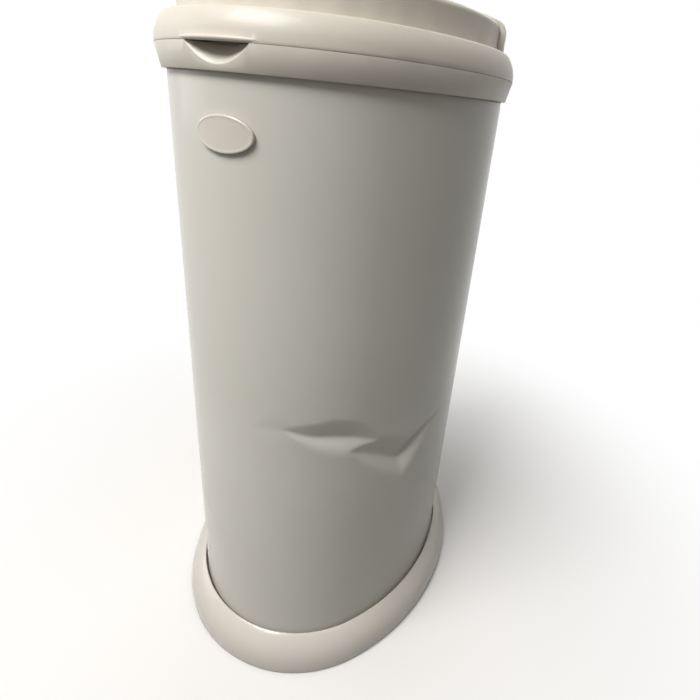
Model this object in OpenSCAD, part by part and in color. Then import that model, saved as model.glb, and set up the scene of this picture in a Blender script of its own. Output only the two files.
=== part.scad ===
// Oval steel nappy bin: a moulded base, a steel body, a collar with a bag
// ring, and a hinged lid with a hatch that slides back under a rear hood.
// Millimetres. The origin is on the floor at the centre of the oval, +Z is
// up and the front, with the badge and the finger scoop, faces -Y.

/* [Body] */
// Width of the steel body, side to side
body_width = 246; // [236:2:256]
// Depth of the steel body, front to back
body_depth = 306; // [300:2:318]
// Height of the body's top edge above the floor
body_top = 508; // [440:2:560]
// Thickness of the steel sheet
sheet = 0.8; // [0.6:0.1:1.2]
// Width of the flange turned in at the bottom of the body
hem_width = 6; // [4:0.5:9]
// Width of the folded seam down the inside of the back
seam_width = 9; // [6:1:14]

/* [Base] */
// Height of the base ring above the floor
base_height = 33.5; // [30:0.5:40]
// How far the base ring stands out from the body at the floor
base_reach = 18; // [16:0.5:24]
// Clearance of the base ring above the floor, on its feet
base_lift = 1.5; // [1:0.25:3]
// Height of the tray that the body stands on
tray_height = 22; // [18:0.5:25]
// Thickness of the tray
tray_thick = 3; // [2.5:0.25:4]
// Wall of the base ring
base_wall = 2.8; // [2:0.2:3.4]
// Gap between the body and the base ring
base_gap = 2.2; // [1:0.2:3]
// Thickness of the ribs under the tray
rib_thick = 2.2; // [1.5:0.1:3]
// Distance between the ribs under the tray, side to side
rib_pitch_x = 81; // [70:1:84]
// Distance between the ribs under the tray, front to back
rib_pitch_y = 50; // [44:1:54]
// Distance of the tray's screws from the middle, side to side
tray_screw_x = 67.6; // [62:0.2:74]
// Distance of the tray's screws from the middle, front to back
tray_screw_y = 84.2; // [80:0.2:92]
// Depth of the heads of the tray's screws below the tray's top
tray_sink = 8; // [7:0.5:9]
// Diameter of a rubber foot
foot_diameter = 15; // [10:1:16]
// Thickness of a rubber foot
foot_thick = 4; // [3.5:0.25:6]
// Thickness of the loose floor plate inside the body
floor_thick = 2.5; // [1.5:0.25:4]

/* [Collar] */
// How far the collar's outer skirt laps down over the body
collar_lap = 4; // [3:0.5:8]
// Height of the collar from its lower edge to its rim
collar_height = 14.5; // [13:0.5:18]
// How far the collar's lower edge stands out from the body
collar_reach = 3.2; // [2:0.2:4]
// How far the collar's rim stands out from the body
collar_flare = 6.3; // [5:0.1:8]
// How far the collar's inner skirt reaches down inside the body
collar_skirt = 24; // [16:1:40]
// Wall of the collar's skirts
collar_wall = 2.4; // [1.8:0.1:3]
// Inset of the mouth of the collar from the body
mouth_inset = 22; // [20:0.5:26]
// Depth of the lip round the mouth, below the bag ring's seat
mouth_lip = 9.3; // [6:0.1:14]
// Depth of the bag ring's seat below the collar's rim
seat_drop = 3.2; // [3:0.1:3.4]
// Thickness of the seat
seat_thick = 3; // [2:0.25:3.5]
// Width of the finger scoop at the front
scoop_width = 46; // [30:1:50]
// Height of the finger scoop
scoop_height = 11.2; // [8:0.2:12]
// Slope of the finger scoop's floor
scoop_slope = 50; // [45:1:60]

/* [Bag ring] */
// Thickness of the bag ring's flange
ring_thick = 2.5; // [2:0.25:3]
// Width of the seat that the flange lies on
ring_seat = 10.3; // [8:0.1:10.3]
// Depth of the bag ring's skirt below its seat
ring_skirt = 7.8; // [5:0.1:9]
// Wall of the bag ring's skirt
ring_wall = 2; // [1.5:0.1:3]
// Diameter of the bag ring's hinge pin
ring_pin = 2.4; // [2:0.1:3]
// Distance of the bag ring's hinge behind the mouth
ring_back = 4; // [3.8:0.1:4.2]
// Width of an ear that carries the bag ring's pin
ring_ear = 4.6; // [3:0.2:6]
// Half width of the bag ring's hinge barrel
ring_barrel = 10; // [8:1:16]

/* [Lid] */
// Gap at the parting line between the collar and the lid
lid_gap = 0.2; // [0.2:0.1:1]
// Wall of the lid
lid_wall = 2.6; // [2:0.1:3]
// Height of the lid's outer band
band_height = 17.8; // [15:0.1:20]
// Radius of the band's curved side
band_radius = 28; // [24:1:40]
// Radius that rounds the band's top edge
band_edge = 2.5; // [1:0.25:3]
// Inset of the dome's wall from the body
dome_inset = 9; // [8:0.25:11]
// Radius of the dome's shoulder
dome_shoulder = 4; // [4:0.5:8]
// Inset at which the top of the dome becomes flat
dome_flat = 50; // [46:1:52]
// Fall of the top of the dome from the flat to the shoulder
dome_fall = 5; // [4:0.25:6]
// Height of the dome above the band
dome_height = 25.5; // [20:0.5:28]
// How far the lip over the finger scoop stands out
lip_reach = 1.8; // [1:0.2:3]
// Height of the lip over the finger scoop
lip_height = 2.6; // [2:0.1:4]
// How far the lip runs on past each end of the finger scoop
lip_run = 4; // [2:0.5:8]
// Thickness of the flange that carries the lid's seal
lid_flange = 2.4; // [2:0.1:3]
// Thickness of the rubber seal between the lid and the collar
seal_thick = 2.5; // [2:0.25:4]
// Width of the rubber seal between the lid and the collar
seal_width = 4; // [3:0.25:4.5]
// Inset of that seal from the body
seal_inset = 3.5; // [3:0.25:4]

/* [Hatch] */
// Width of the sliding hatch
hatch_width = 120; // [116:1:122]
// Length of the sliding hatch
hatch_length = 132; // [128:1:136]
// Distance of the closed hatch's centre in front of the bin's centre
hatch_centre = 61; // [59:0.5:62]
// Thickness of the hatch
hatch_thick = 4.2; // [3.8:0.1:4.6]
// Inset at which the top of the hatch becomes flat
hatch_flat = 16; // [10:1:24]
// Fall of the hatch's top from its flat to its edge
hatch_fall = 1.5; // [1:0.1:1.8]
// Radius of the hatch's edge
hatch_edge = 1.2; // [0.8:0.1:1.6]
// Gap between the hatch and the bezel it slides on
hatch_gap = 0.4; // [0.3:0.05:0.6]
// Inset of the aperture from the edge of the hatch
aperture_inset = 10; // [9.5:0.25:12]
// Thickness of the bezel that the hatch slides on
bezel_thick = 3; // [2.5:0.1:3.4]
// Width of the rubber seal round the aperture
hatch_seal_w = 2.6; // [2:0.1:3]
// Depth of the groove for that seal
seal_groove = 1.5; // [1:0.1:1.8]
// Distance of the middle of a track outside the aperture
track_out = 6; // [5.8:0.1:6.2]
// Width of the two tracks beside the aperture
track_width = 4; // [3.6:0.1:4.2]
// How far the hatch slides back
hatch_travel = 104; // [80:1:104]
// Length of a guide shoe under the hatch
shoe_length = 36; // [20:1:40]

/* [Grip and lock] */
// Height of the grip above the bezel
grip_height = 12; // [11:0.5:13]
// Depth of the grip, front to back
grip_depth = 15; // [14:0.5:16]
// Distance of the grip's sides in from the sides of the hatch
grip_side = 30; // [28:1:34]
// Depth of the seat that the grip is let into
grip_sink = 1.8; // [1.2:0.1:2]
// How far the grip's brow stands out in front of the grip
brow_reach = 11.5; // [11.2:0.1:12]
// Width of the brow
brow_width = 40; // [34:1:46]
// Height of the brow
brow_height = 5.3; // [4.5:0.1:5.5]
// Radius of the brow's front corners
brow_corner = 5; // [3:0.5:6]
// Width of the child lock's slider
lock_width = 8; // [6:0.25:8]
// Thickness of the slider where it passes through the brow
lock_thick = 2.5; // [2:0.1:2.7]
// Depth of the slider's thumb pad, front to back
lock_pad = 6.5; // [5:0.25:6.5]
// How far the child lock slides
lock_travel = 9; // [9:0.1:10]
// Width of the keeper that the locked slider stands in front of
keeper_width = 8; // [6:0.25:8]
// Thickness of the keeper
keeper_thick = 3; // [2.4:0.1:3]

/* [Hood] */
// Inset of the hood's wall from the body
hood_inset = 4.7; // [4:0.1:5]
// Wall of the hood
hood_wall = 2.2; // [1.8:0.1:2.6]
// Radius of the hood's shoulder
hood_shoulder = 8; // [6:0.5:10]
// Height of the hood's crown above the flat of the dome
hood_height = 11.5; // [11.5:0.25:16]
// Radius of the ends of the hood's flat crown
hood_crown = 12; // [12:1:18]
// Fall of the hood's top from its crown to its shoulder
hood_fall = 13.5; // [11:0.5:13.5]
// Places of the hood's screws behind the bin's centre
hood_screw_ys = [12, 32];
// Width of the screw bosses inside the hood
hood_boss = 7; // [6:0.25:8]
// Distance of the hood's front edge in front of the bin's centre
hood_front = 4; // [0:0.5:5]
// Radius of the hood's bowed front edge, seen from above
hood_bow = 300; // [280:10:500]

/* [Hinge] */
// Distance of the lid hinge's axis behind the body
hinge_out = 12.2; // [12.2:0.1:14]
// Outer diameter of the hinge knuckles
knuckle_diameter = 11; // [9:0.5:11]
// Diameter of the hinge pin
hinge_pin_d = 4; // [3:0.25:5]
// Half width of the lid's knuckle
lid_knuckle = 30; // [20:1:36]
// Thickness of the cap on each end of the hinge pin
pin_cap = 1.5; // [1:0.1:2]
// How far the caps stand out round the hinge pin
pin_cap_rim = 1.4; // [1:0.1:1.5]
// Width of each collar knuckle
collar_knuckle = 13.6; // [8:0.2:18]

/* [Badge] */
// Width of the plain oval badge
badge_width = 43; // [34:1:50]
// Height of the badge
badge_height = 22; // [18:1:28]
// Height of the badge's centre above the floor
badge_z = 470.5; // [380:1:480]
// How far the badge stands out from the body
badge_thick = 2.6; // [2:0.2:3.4]
// Diameter of the badge's studs
badge_stud = 3; // [2.5:0.25:3.5]
// Length of the badge's studs
stud_length = 5.5; // [5:0.25:7]
// Distance of the studs from the middle of the badge
badge_stud_x = 12; // [8:0.5:13]
// Diameter of the clips on the studs
badge_clip = 9; // [7:0.5:10]
// Thickness of the clips
clip_thick = 1; // [0.8:0.1:1.5]

/* [Fasteners] */
// Shank diameter of the screws
screw_d = 3; // [2.5:0.25:3.5]
// Head diameter of the screws
screw_head = 6; // [5:0.25:7]
// Head height of the screws
screw_head_h = 2; // [1.5:0.25:2.5]

/* [Fits] */
// Running clearance of a pin in its bore, on the radius
run_fit = 0.06; // [0.02:0.01:0.1]
// Clearance between pieces that slide past each other
slide_fit = 0.4; // [0.3:0.05:0.6]
// Clearance round a piece that is pushed into its seat
seat_fit = 0.1; // [0.05:0.05:0.2]

/* [Hidden] */
$fn = 96;
cut = 1;

// The plan is an oval of four arcs that meet smoothly. The meeting points lie
// on lines of slope 3 in 4 through the arcs' centres, so that every sweep
// around the oval closes exactly.
run = 0.8;
rise = 0.6;
function spread(w, d) = (d - w) / 2 / (rise + run - 1);
half_w = body_width / 2;
half_d = body_depth / 2;
arc_gap = spread(body_width, body_depth);
end_r = half_w - (1 - run) * arc_gap;
end_y = rise * arc_gap;
far = body_depth;

collar_z = body_top - collar_lap;
parting_z = collar_z + collar_height;
seat_z = parting_z - seat_drop;
lid_z = parting_z + lid_gap;
band_z = lid_z + band_height;
deck_z = band_z + dome_height;
hood_z = deck_z + hood_height;
hatch_z = deck_z + hatch_gap;
crown_z = hatch_z + hatch_thick;
hood_flat = end_r - hood_crown;

// Seat of the bag ring and place of its hinge
step_inset = mouth_inset - ring_seat;
ring_y = half_d - mouth_inset + ring_back;
barrel_r = ring_pin / 2 + 1.2;
ring_axis_z = seat_z + barrel_r + slide_fit;
ring_reach = ring_barrel + slide_fit + ring_ear;

// Lid hinge
hinge_y = half_d + hinge_out;
knuckle_r = knuckle_diameter / 2;

// Deck of the lid
deck_radius = (pow(dome_flat - dome_inset - dome_shoulder, 2) + pow(dome_fall, 2)) / 2 / dome_fall;
hood_radius = (pow(hood_flat - hood_inset - hood_shoulder, 2) + pow(hood_fall, 2)) / 2 / hood_fall;

// Hatch, its aperture, tracks and shoes
hatch_half_w = hatch_width / 2;
hatch_end_r = hatch_half_w - (1 - run) * spread(hatch_width, hatch_length);
hatch_end_y = -hatch_centre - rise * spread(hatch_width, hatch_length);
hatch_radius = (pow(hatch_flat - hatch_edge, 2) + pow(hatch_fall, 2)) / 2 / hatch_fall;
bezel_inset = 1;
passage_half_w = hatch_half_w + 1.5;
bow_depth = hood_bow - sqrt(pow(hood_bow, 2) - pow(passage_half_w, 2));
seal_out = 0.6;
track_x = hatch_half_w - aperture_inset + track_out;
track_spare = 2;
track_front = -hatch_centre - shoe_length / 2 - track_spare;
track_back = -hatch_centre + shoe_length / 2 + hatch_travel + track_spare;
shoe_w = track_width - 2 * slide_fit;
shoe_foot = 2;
shoe_foot_w = shoe_w + 4;

// Grip on the hatch, with a brow that carries the child lock's slider
grip_width = hatch_width - 2 * grip_side;
grip_z = crown_z - grip_sink;
grip_top = deck_z + grip_height;
grip_r = hatch_end_r - 2;
grip_front = hatch_end_y - grip_r;
brow_z = grip_z + 1.4;
brow_top = brow_z + brow_height;
brow_front = grip_front - brow_reach;

// Child lock: unlocked, its slider stands on the left of the keeper
lock_gap = 1;
lock_y = brow_front + 2.1 + slide_fit + lock_thick / 2;
lock_low = deck_z + 1.2;
lock_top = grip_top - 0.4;
keeper_x = lock_width / 2 + 0.5;
keeper_y = lock_y + lock_thick / 2 + 0.9;
keeper_low = deck_z - 7.8;
keeper_top = grip_z + 0.1;
keeper_foot = 1.2;

// Where the feet stand: centres on the oval through the middle of the ring
foot_inset = base_reach / 3;
foot_angles = [65, 115];

// Screws: four hold the tray, four the hood and two the grip
boss_wall = 2;
tray_boss = 12;
head_fit = 0.3;
hood_screw_x = hatch_half_w + slide_fit + 5.6;
grip_screw_x = grip_width / 2 - 8;
grip_screw_y = grip_front + grip_depth - 4.5;
grip_screw_length = 7;
hood_screw_grip = 4.5;

// Sweeps a profile around an oval of width w and depth d. In the profile x is
// the distance out from the oval and y is the height. Each arc's sector is
// cut from a full turn by a wedge with its point at the arc's centre.
module oval_sweep(w = body_width, d = body_depth) {
    gap = spread(w, d);
    er = w / 2 - (1 - run) * gap;
    ey = rise * gap;
    sx = run * gap;
    for (turn = [0, 180]) rotate(turn) {
        intersection() {
            translate([-sx, 0, 0]) rotate(180) rotate_extrude($fn = 180)
                translate([er + gap, 0]) children();
            translate([0, 0, -cut]) linear_extrude(hood_z + 2 * cut)
                polygon([[-sx, 0], [far * run - sx, -far * rise], [far * run - sx, far * rise]]);
        }
        intersection() {
            translate([0, ey, 0]) rotate(-90) rotate_extrude($fn = 180)
                translate([er, 0]) children();
            translate([0, 0, -cut]) linear_extrude(hood_z + 2 * cut)
                polygon([[0, ey], [far * run, far * rise + ey], [-far * run, far * rise + ey]]);
        }
    }
}

// A filled oval in the plan, of width w and depth d, from its four arcs
module oval(w, d) {
    gap = spread(w, d);
    er = w / 2 - (1 - run) * gap;
    ey = rise * gap;
    sx = run * gap;
    reach = 2 * d;
    for (s = [-1, 1]) {
        intersection() {
            translate([0, s * ey]) circle(r = er, $fn = 180);
            polygon([
                [0, s * ey], [reach * run, s * (ey + reach * rise)], [-reach * run, s * (ey + reach * rise)]
            ]);
        }
        intersection() {
            translate([-s * sx, 0]) circle(r = er + gap, $fn = 180);
            polygon([
                [0, -ey], [s * reach * run, -ey - reach * rise], [s * reach * run, ey + reach * rise], [0, ey]
            ]);
        }
    }
}

// The body's own oval, grown or shrunk by an offset
module body_oval(out = 0) {
    oval(body_width + 2 * out, body_depth + 2 * out);
}

// Solid between two heights over the body's oval
module oval_block(out, z0, z1) {
    translate([0, 0, z0]) linear_extrude(z1 - z0) body_oval(out);
}

// Profile of a dome: an upright wall, a round shoulder and a top that rises
// to a flat. t moves the whole surface inwards.
module dome_face(inset, shoulder, flat, radius, top, base, t) {
    arc_z = top - radius;
    run_in = flat - inset - shoulder;
    shoulder_z = arc_z + sqrt(pow(radius - shoulder, 2) - pow(run_in, 2));
    meet = (radius - t) * run_in / (radius - shoulder);
    translate([-flat, base]) square([flat - inset - t, shoulder_z - base]);
    translate([-inset - shoulder, shoulder_z]) circle(r = shoulder - t);
    intersection() {
        translate([-flat, arc_z]) circle(r = radius - t, $fn = 360);
        translate([-flat, base]) square([meet, top - base + cut]);
    }
}

// The dome of the lid as a solid, moved inwards by t
module dome_solid(t, base) {
    oval_sweep() dome_face(dome_inset, dome_shoulder, dome_flat, deck_radius, deck_z, base, t);
    oval_block(-dome_flat, base, deck_z - t);
}

// The hood's outer form as a solid, moved inwards by t
module hood_solid(t, base) {
    oval_sweep() dome_face(hood_inset, hood_shoulder, hood_flat, hood_radius, hood_z, base, t);
    oval_block(-hood_flat, base, hood_z - t);
}

// A bar along X, centred on x, with its axis at y, z
module bar(r, x0, x1, y, z) {
    translate([x0, y, z]) rotate([0, 90, 0]) cylinder(r = r, h = x1 - x0);
}

// A block between two corners
module block(low, high) {
    translate(low) cube(high - low);
}

// Plan of the hatch, or of an oval inset from its edge
module hatch_oval(inset = 0) {
    translate([0, -hatch_centre]) oval(hatch_width - 2 * inset, hatch_length - 2 * inset);
}

// A pan-head screw that points up, with the underside of its head at z
module screw_up(length) {
    translate([0, 0, -screw_head_h]) cylinder(d = screw_head, h = screw_head_h);
    translate([0, 0, -cut / 2]) cylinder(d = screw_d, h = length + cut / 2);
}

module at_tray_screws() {
    for (sx = [-1, 1], sy = [-1, 1]) translate([sx * tray_screw_x, sy * tray_screw_y, 0]) children();
}

module at_hood_screws() {
    for (sx = [-1, 1], y = hood_screw_ys) translate([sx * hood_screw_x, y, 0]) children();
}

module at_feet() {
    for (turn = [0, 180]) rotate(turn) {
        translate([half_w + foot_inset, 0, 0]) children();
        for (a = foot_angles) translate([0, end_y, 0]) rotate(a)
            translate([end_r + foot_inset, 0, 0]) children();
    }
}

// Section of the base ring, moved inwards by t. Its arc is upright just above
// the floor and passes through the ring's top edge.
module base_ring_face(t) {
    spring_z = base_lift + 3.5;
    top_x = base_gap + 0.8;
    fall = base_height - spring_z;
    reach = base_reach - top_x;
    r = (reach * reach + fall * fall) / 2 / reach;
    intersection() {
        translate([base_reach - r, spring_z]) circle(r = r - t, $fn = 180);
        translate([base_gap, base_lift - cut]) square([base_reach, base_height - base_lift + cut - t]);
    }
}

// Moulded base: a rounded ring around the foot of the body, a tray that
// carries the body, ribs under it and sockets for the feet
module base() {
    socket_wall = 1.6;
    skin = 0.6;
    color("#e9e6e1") difference() {
        union() {
            oval_sweep() difference() {
                intersection() {
                    base_ring_face(0);
                    translate([0, base_lift]) square([far, base_height]);
                }
                difference() {
                    base_ring_face(base_wall);
                    translate([0, base_lift - cut]) square([base_gap + base_wall, base_height]);
                }
            }
            oval_block(base_gap + base_wall, tray_height - tray_thick, tray_height);
            base_ribs();
            intersection() {
                at_feet() translate([0, 0, base_lift])
                    cylinder(d = foot_diameter + 2 * socket_wall, h = tray_height / 2);
                oval_sweep() translate([-base_reach, base_lift]) square([2 * base_reach - skin, tray_height]);
            }
            at_tray_screws() translate([0, 0, tray_height - tray_boss])
                cylinder(d = screw_head + 2 * boss_wall, h = tray_boss - tray_thick);
        }
        at_feet() translate([0, 0, -cut]) cylinder(d = foot_diameter, h = foot_thick + cut);
        at_tray_screws() cylinder(d = screw_d, h = tray_height + cut);
        at_tray_screws() cylinder(d = screw_head + 2 * head_fit, h = tray_height - tray_sink);
    }
}

// Crossed ribs under the tray
module base_ribs() {
    rib_low = base_lift + foot_thick;
    rib_end = base_gap + base_wall / 7;
    intersection() {
        oval_block(rib_end, rib_low, tray_height - tray_thick);
        union() {
            for (i = [-1 : 1]) translate([i * rib_pitch_x - rib_thick / 2, -far, 0])
                cube([rib_thick, 2 * far, tray_height]);
            for (i = [-2 : 2]) translate([-far, i * rib_pitch_y - rib_thick / 2, 0])
                cube([2 * far, rib_thick, tray_height]);
        }
    }
}

// Six rubber feet pushed into the sockets of the base
module feet() {
    color("#3a3a3c") at_feet() cylinder(d = foot_diameter, h = foot_thick);
}

// Steel body: an oval tube with a flange turned in at the bottom, a folded
// seam inside the back and two holes for the badge
module body_shell() {
    color("#c3bdb3") difference() {
        union() {
            difference() {
                oval_block(0, tray_height, body_top);
                oval_block(-sheet, tray_height + sheet, body_top + cut);
                oval_block(-hem_width, tray_height - cut, tray_height + 2 * sheet);
            }
            block([-seam_width / 2, half_d - 2.5 * sheet, tray_height + sheet + floor_thick + cut],
                  [seam_width / 2, half_d - sheet / 2, body_top - collar_skirt - collar_lap - cut]);
        }
        at_badge_studs() rotate([-90, 0, 0])
            cylinder(d = badge_stud + 2 * seat_fit, h = 4 * sheet, center = true);
    }
}

// Loose floor plate: it lies on the flange and is screwed to the tray
module floor_plate() {
    color("#d9d6d0") difference() {
        oval_block(-sheet - 0.4, tray_height + sheet, tray_height + sheet + floor_thick);
        at_tray_screws() cylinder(d = screw_d, h = body_top);
    }
}

// Spacers that fill the space between the tray and the floor plate
module tray_spacers() {
    color("#d9d6d0") at_tray_screws() translate([0, 0, tray_height]) difference() {
        cylinder(d = screw_head + 2 * boss_wall, h = sheet);
        translate([0, 0, -cut]) cylinder(d = screw_d, h = sheet + 2 * cut);
    }
}

// Screws that clamp the floor plate and the tray
module tray_screws() {
    color("#8f9194") at_tray_screws() translate([0, 0, tray_height - tray_sink])
        screw_up(tray_sink + sheet + floor_thick / 2);
}

module at_badge_studs() {
    for (s = [-1, 1]) translate([s * badge_stud_x, -half_d, badge_z]) children();
}

// Outline of the badge, carried forward
module badge_outline() {
    rotate([90, 0, 0]) linear_extrude(far) rotate(90) oval(badge_height, badge_width);
}

// Plain oval badge, bent to the front of the body, with two studs
module badge() {
    color("#d8d4cc") {
        intersection() {
            translate([0, -end_y, badge_z - badge_height]) difference() {
                cylinder(r = end_r + badge_thick, h = 2 * badge_height, $fn = 360);
                translate([0, 0, -cut]) cylinder(r = end_r, h = 2 * badge_height + 2 * cut, $fn = 360);
            }
            translate([0, 0, badge_z]) badge_outline();
        }
        at_badge_studs() rotate([-90, 0, 0]) cylinder(d = badge_stud, h = stud_length);
        at_badge_studs() rotate([90, 0, 0]) cylinder(d = badge_stud, h = badge_thick / 2);
    }
}

// Two push-on clips that hold the badge's studs inside the body
module badge_clips() {
    clip_x = badge_stud_x + badge_clip / 2;
    clip_y = half_d - end_y - sqrt(pow(end_r - sheet, 2) - pow(clip_x, 2));
    color("#8f9194") at_badge_studs() rotate([-90, 0, 0]) translate([0, 0, clip_y]) difference() {
        cylinder(d = badge_clip, h = clip_thick);
        translate([0, 0, -cut]) cylinder(d = badge_stud, h = clip_thick + 2 * cut);
    }
}

// Moulded collar: it laps over the top of the body, carries the bag ring and
// the lid's hinge, and has the finger scoop at the front
module collar() {
    inner = -sheet - seat_fit;
    color("#cfcac1") difference() {
        union() {
            oval_sweep() polygon([
                [seat_fit, collar_z], [collar_reach, collar_z],
                [collar_flare, parting_z], [-step_inset, parting_z],
                [-step_inset, seat_z], [-mouth_inset, seat_z],
                [-mouth_inset, seat_z - mouth_lip], [collar_wall - mouth_inset, seat_z - mouth_lip],
                [collar_wall - mouth_inset, seat_z - seat_thick], [inner - collar_wall, seat_z - seat_thick],
                [inner - collar_wall, body_top - collar_skirt], [inner, body_top - collar_skirt],
                [inner, body_top], [seat_fit, body_top]
            ]);
            for (side = [-1, 1]) collar_knuckle(side);
            ring_ears();
        }
        finger_scoop();
        bar(hinge_pin_d / 2, -far, far, hinge_y, lid_z);
        bar(ring_pin / 2, -ring_reach - cut, ring_reach + cut, ring_y, ring_axis_z);
    }
}

// One of the collar's two hinge knuckles, with the web that carries it
module collar_knuckle(side) {
    near = lid_knuckle + slide_fit;
    x0 = side > 0 ? near : -near - collar_knuckle;
    bar(knuckle_r, x0, x0 + collar_knuckle, hinge_y, lid_z);
    block([x0, half_d - 5, parting_z - 5.4], [x0 + collar_knuckle, hinge_y, parting_z]);
}

// Two ears on the seat that carry the bag ring's pin
module ring_ears() {
    for (s = [-1, 1]) {
        x0 = s > 0 ? ring_barrel + slide_fit : -ring_reach;
        bar(barrel_r, x0, x0 + ring_ear, ring_y, ring_axis_z);
        block([x0, ring_y - barrel_r, seat_z - cut], [x0 + ring_ear, ring_y + barrel_r, ring_axis_z]);
    }
}

// A round hollow whose floor slopes up into the collar
module finger_scoop() {
    h = scoop_height * cos(scoop_slope);
    r = (pow(scoop_width / 2, 2) + h * h) / 2 / h;
    translate([0, -half_d - collar_reach - 0.8, parting_z - scoop_height]) rotate([scoop_slope - 90, 0, 0])
        translate([0, -r, 0]) cylinder(r = r, h = far / 6, center = true, $fn = 180);
}

// Pin of the lid hinge, with a flat cap on each end
module hinge_pin() {
    reach = lid_knuckle + slide_fit + collar_knuckle;
    tip = reach + pin_cap;
    color("#8f9194") {
        bar(hinge_pin_d / 2, -tip, tip, hinge_y, lid_z);
        bar(hinge_pin_d / 2 + pin_cap_rim, reach, tip, hinge_y, lid_z);
        bar(hinge_pin_d / 2 + pin_cap_rim, -tip, -reach, hinge_y, lid_z);
    }
}

// Bag ring: it folds up on a hinge at the back, and clamps the top of the bag
module bag_ring() {
    outer = -step_inset - slide_fit;
    skirt = -mouth_inset - 1.5;
    color("#e3e0d8") difference() {
        union() {
            difference() {
                oval_sweep() polygon([
                    [outer, seat_z], [outer, seat_z + ring_thick],
                    [skirt - ring_wall, seat_z + ring_thick], [skirt - ring_wall, seat_z - ring_skirt],
                    [skirt, seat_z - ring_skirt], [skirt, seat_z]
                ]);
                block([-far, ring_y - 1.5, seat_z - cut], [far, far, seat_z + ring_thick + cut]);
                block([-ring_reach - slide_fit, ring_y - barrel_r - 1, seat_z - cut],
                      [ring_reach + slide_fit, far, seat_z + ring_thick + cut]);
            }
            bar(barrel_r, -ring_barrel, ring_barrel, ring_y, ring_axis_z);
            block([-ring_barrel, half_d - mouth_inset - 3, seat_z + slide_fit],
                  [ring_barrel, ring_y, seat_z + ring_thick]);
        }
        bar(ring_pin / 2 + run_fit, -ring_reach, ring_reach, ring_y, ring_axis_z);
    }
}

// Pin of the bag ring's hinge
module ring_hinge_pin() {
    color("#8f9194") bar(ring_pin / 2, -ring_reach, ring_reach, ring_y, ring_axis_z);
}

// Lid: a curved outer band, a dome with the hatch's aperture in its top, a
// keeper for the child lock, and the hinge knuckle at the back
module lid() {
    color("#d6d1c8") difference() {
        union() {
            oval_sweep() lid_band_face();
            difference() {
                dome_solid(0, band_z - lid_wall);
                dome_solid(lid_wall, band_z - lid_wall - cut);
            }
            translate([0, 0, deck_z - bezel_thick]) linear_extrude(bezel_thick) hatch_oval(bezel_inset);
            lid_knuckle_block();
            finger_lip();
        }
        translate([0, 0, band_z]) linear_extrude(far) hatch_oval(aperture_inset);
        translate([0, 0, deck_z - seal_groove]) linear_extrude(far) seal_outline();
        for (s = [-1, 1]) block([s * track_x - track_width / 2, track_front, band_z],
                                [s * track_x + track_width / 2, track_back, deck_z + cut]);
        at_hood_screws() translate([0, 0, band_z]) cylinder(d = screw_d, h = far);
        bar(hinge_pin_d / 2 + run_fit, -far, far, hinge_y, lid_z);
        keeper_post(seat_fit, band_z);
    }
}

// Section of the band, with the shelf that joins it to the dome and the
// inner flange that carries the seal
module lid_band_face() {
    low = -dome_inset - lid_wall;
    centre = [collar_flare - band_radius, lid_z + 0.5];
    edge_z = band_z - band_edge;
    edge_out = centre.x + sqrt(pow(band_radius - band_edge, 2) - pow(edge_z - centre.y, 2));
    meet_z = centre.y + band_radius * (edge_z - centre.y) / (band_radius - band_edge);
    difference() {
        union() {
            intersection() {
                translate(centre) circle(r = band_radius, $fn = 180);
                translate([low, lid_z]) square([2 * dome_inset + collar_flare, meet_z - lid_z]);
            }
            translate([edge_out, edge_z]) circle(r = band_edge, $fn = 32);
            translate([low, edge_z]) square([edge_out - low, band_edge]);
        }
        intersection() {
            translate(centre) circle(r = band_radius - lid_wall, $fn = 180);
            translate([low - cut, lid_z - cut])
                square([2 * dome_inset + collar_flare, band_height - lid_wall + cut]);
        }
    }
    translate([-dome_inset, parting_z + seal_thick])
        square([dome_inset + collar_flare - lid_wall / 2, lid_flange]);
}

// Post of the keeper, grown by an amount, from height z0 to its top
module keeper_post(extra, z0) {
    block([keeper_x - keeper_width / 2 - extra, keeper_y - extra, z0],
          [keeper_x + keeper_width / 2 + extra, keeper_y + keeper_thick + extra, keeper_top]);
}

// Keeper of the child lock: a post pushed up through the lid, with a foot
// that stays under it
module keeper() {
    color("#a8a39a") {
        keeper_post(0, keeper_low);
        block([keeper_x - keeper_width / 2 - 1.5, keeper_y - 1.2, keeper_low],
              [keeper_x + keeper_width / 2 + 1.5, keeper_y + keeper_thick + 1.2, keeper_low + keeper_foot]);
    }
}

// Knuckle in the middle of the hinge, with the web that joins it to the band
module lid_knuckle_block() {
    bar(knuckle_r, -lid_knuckle, lid_knuckle, hinge_y, lid_z);
    block([-lid_knuckle, half_d + 2, lid_z + slide_fit], [lid_knuckle, hinge_y, lid_z + knuckle_r]);
}

// Rounded lip on the band's edge, over the finger scoop. Its plan is an arc
// that stands out most in the middle and runs into the band at both ends.
module finger_lip() {
    half = scoop_width / 2 + lip_run;
    band_r = end_r + collar_flare;
    front_r = band_r + lip_reach;
    ahead = (pow(front_r, 2) - pow(band_r, 2)) / 2 / (front_r - sqrt(pow(band_r, 2) - pow(half, 2)));
    lip_r = front_r - ahead;
    half_angle = asin(half / lip_r) + 0.4;
    round_r = lip_height / 2;
    deep = lid_wall - 0.4;
    translate([0, -end_y - ahead, 0]) rotate(-90 - half_angle) rotate_extrude(angle = 2 * half_angle, $fn = 180) {
        translate([lip_r - deep, lid_z]) square([deep - round_r, lip_height]);
        translate([lip_r - round_r, lid_z + round_r]) circle(r = round_r, $fn = 24);
    }
}

// Rubber seal under the lid, pressed on the collar's rim
module lid_seal() {
    color("#77756f") oval_sweep() translate([-seal_width - seal_inset, parting_z])
        square([seal_width, seal_thick]);
}

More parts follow.
